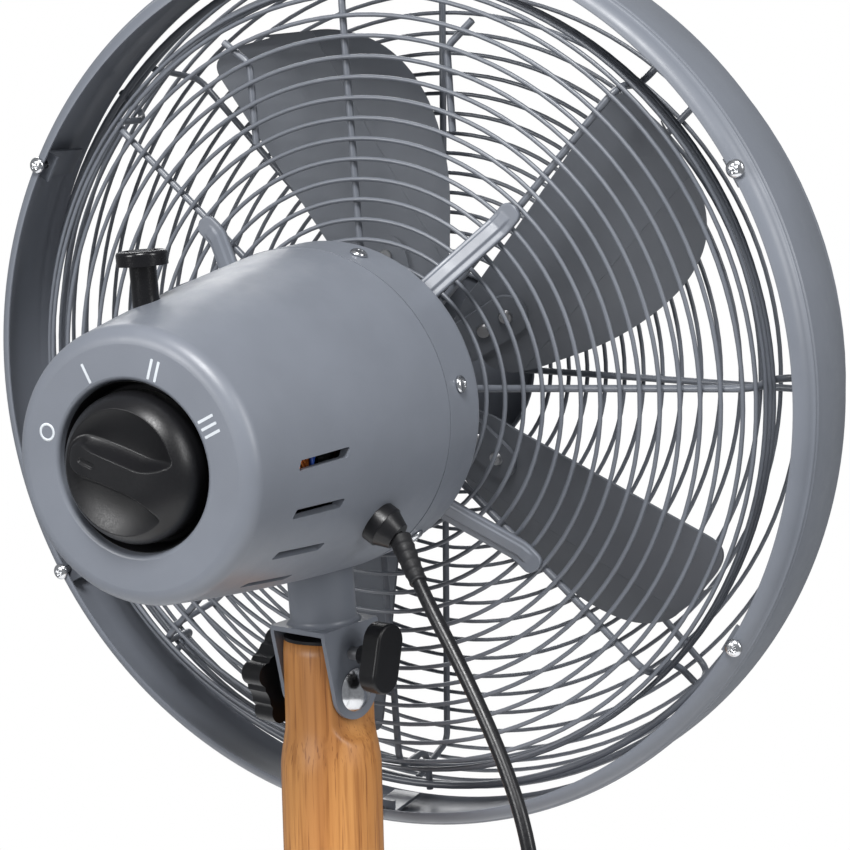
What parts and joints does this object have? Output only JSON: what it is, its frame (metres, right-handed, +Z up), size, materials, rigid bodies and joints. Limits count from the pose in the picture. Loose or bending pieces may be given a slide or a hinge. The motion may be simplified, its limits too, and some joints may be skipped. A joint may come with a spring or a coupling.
{
  "type": "oscillating fan",
  "caption": "Oscillating fan with a round wire cage, banded rim and conical motor housing, on a turned wooden post with three splayed legs.",
  "frame": {"origin": "on the floor, under the middle of the object without its free cord", "axes": "+Z up, -Y the way the fan blows when its head points straight ahead, +X to its left"},
  "size_m": [0.5009, 0.4684, 1.2243],
  "materials": {
    "grey_paint": "satin",
    "dark_paint": "satin",
    "wood": "oiled",
    "black_plastic": "matte",
    "chrome": "polished",
    "steel": "plain",
    "aluminium": "cast",
    "brass": "plain",
    "copper": "enamelled",
    "rubber": "matte",
    "nylon": "matte"
  },
  "bodies": {
    "stand": {"post": "wood", "post_cap": "black_plastic", "base_hub": "grey_paint", "leg_rear": "wood", "leg_front_left": "wood", "leg_front_right": "wood", "feet": "rubber", "leg_bolts": "chrome", "hub_bolt": "steel", "cord_lower": "rubber", "cord_coil": "rubber", "plug": "black_plastic", "plug_pins": "chrome"},
    "yoke": {"yoke": "grey_paint", "tilt_bolt": "chrome", "tilt_washers": "nylon", "link_pin": "steel"},
    "clamp": {"clamp_knob": "black_plastic", "clamp_nut": "brass"},
    "lock": {"lock_knob": "black_plastic", "lock_screw": "steel"},
    "head": {"motor_housing": "grey_paint", "housing_cover": "grey_paint", "cover_screws": "chrome", "cord_gland": "black_plastic", "speed_switch": "black_plastic", "stator_core": "steel", "stator_windings": "copper", "motor_frame": "aluminium", "pan_bushing": "brass", "rear_bell": "aluminium", "shaft_bearings": "steel", "gearbox": "aluminium", "capacitor": "black_plastic", "rear_grille_rings": "grey_paint", "rear_grille_rods": "grey_paint", "grille_stays": "grey_paint", "grille_brackets": "grey_paint", "front_grille_rings": "grey_paint", "front_grille_rods": "grey_paint", "centre_badge": "grey_paint", "cage_band": "grey_paint", "band_screws": "chrome", "band_clips": "grey_paint", "cord_upper": "rubber"},
    "rotor": {"motor_shaft": "steel", "rotor_core": "steel", "worm": "brass", "blade_hub": "grey_paint", "fan_blades": "dark_paint", "blade_rivets": "steel", "hub_nut": "black_plastic"},
    "worm_wheel": {"worm_wheel": "nylon"},
    "crank": {"crank": "steel"},
    "link": {"drive_link": "steel"},
    "oscillation_knob": {"oscillation_knob": "black_plastic", "clutch_rod": "steel"},
    "speed_knob": {"speed_knob": "black_plastic", "switch_spindle": "steel"}
  },
  "joints": [
    {"name": "head_tilt", "type": "hinge", "parent": "stand", "child": "yoke", "pos_m": [0, -0.04976, 0.87], "axis": [-1, 0, 0], "range_deg": [-15, 7]},
    {"name": "head_pan", "type": "hinge", "parent": "yoke", "child": "head", "pos_m": [0, -0.0408, 0.99809], "axis": [0, 0.0698, 0.9976], "range_deg": [-55, 25]},
    {"name": "fan_spin", "type": "hinge", "parent": "head", "child": "rotor", "pos_m": [0, -0.0408, 0.99809], "axis": [0.2588, -0.9636, 0.0674], "continuous": true},
    {"name": "worm_wheel_turn", "type": "hinge", "parent": "head", "child": "worm_wheel", "pos_m": [-0.01036, 0.05558, 0.99135], "axis": [0, 0.0698, 0.9976], "continuous": true},
    {"name": "crank_turn", "type": "hinge", "parent": "head", "child": "crank", "pos_m": [-0.01036, 0.05313, 0.95643], "axis": [0, 0.0698, 0.9976], "range_deg": [-116, 53]},
    {"name": "link_swing", "type": "hinge", "parent": "crank", "child": "link", "pos_m": [0.00131, 0.05654, 0.94918], "axis": [0, 0.0698, 0.9976], "range_deg": [-53, 116]},
    {"name": "oscillation_pull", "type": "slide", "parent": "head", "child": "oscillation_knob", "axis": [0, -0.0698, -0.9976], "range_m": [0, 0.007]},
    {"name": "speed_turn", "type": "hinge", "parent": "head", "child": "speed_knob", "pos_m": [-0.03572, 0.09217, 0.98879], "axis": [0.2588, -0.9636, 0.0674], "range_deg": [0, 135]},
    {"name": "clamp_turn", "type": "hinge", "parent": "yoke", "child": "clamp", "pos_m": [0.0175, -0.04976, 0.87], "axis": [1, 0, 0], "range_deg": [0, 360]},
    {"name": "lock_turn", "type": "hinge", "parent": "yoke", "child": "lock", "pos_m": [-0.0175, -0.04754, 0.88739], "axis": [-1, 0, 0], "range_deg": [0, 360]}
  ],
  "couplings": [
    {"joint": "worm_wheel_turn", "follows": "fan_spin", "ratio": 0.033333},
    {"joint": "crank_turn", "follows": "head_pan", "ratio": 2.1},
    {"joint": "link_swing", "follows": "head_pan", "ratio": -2.1}
  ]
}
